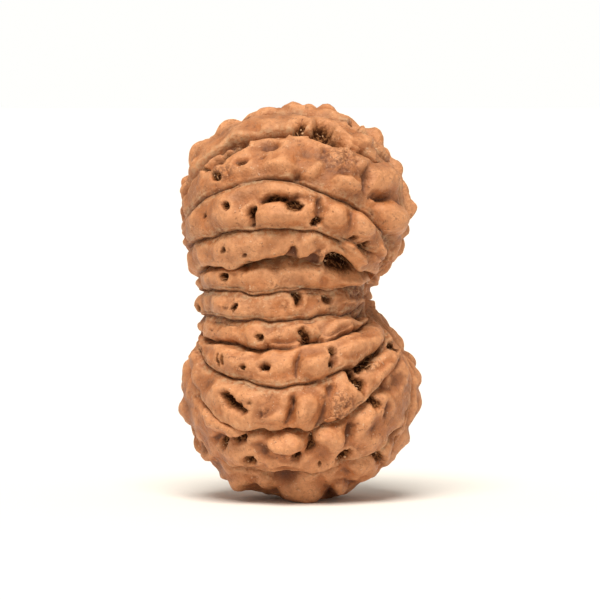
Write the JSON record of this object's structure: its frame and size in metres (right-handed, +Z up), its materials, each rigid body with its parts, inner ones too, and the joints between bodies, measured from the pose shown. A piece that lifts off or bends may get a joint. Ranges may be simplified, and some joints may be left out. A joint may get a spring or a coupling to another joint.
{
  "type": "nineteen mukhi rudraksha",
  "caption": "Waisted rudraksha bead: one dried fruit stone with many lengthwise clefts, lumpy ribs and open pits, standing on its end.",
  "frame": {"origin": "middle of the bead's box, on the surface that it stands on", "axes": "+Z up along the bead's length, -Y the front with its even ribs, +X from the left stalk scar to the right one"},
  "size_m": [0.0249, 0.0248, 0.0396],
  "materials": {
    "dried_stone": "satin, lightly waxed, with dusty grooves and dark fibrous pits"
  },
  "bodies": {
    "root": {"rudraksha_stone": "dried_stone"}
  },
  "joints": []
}
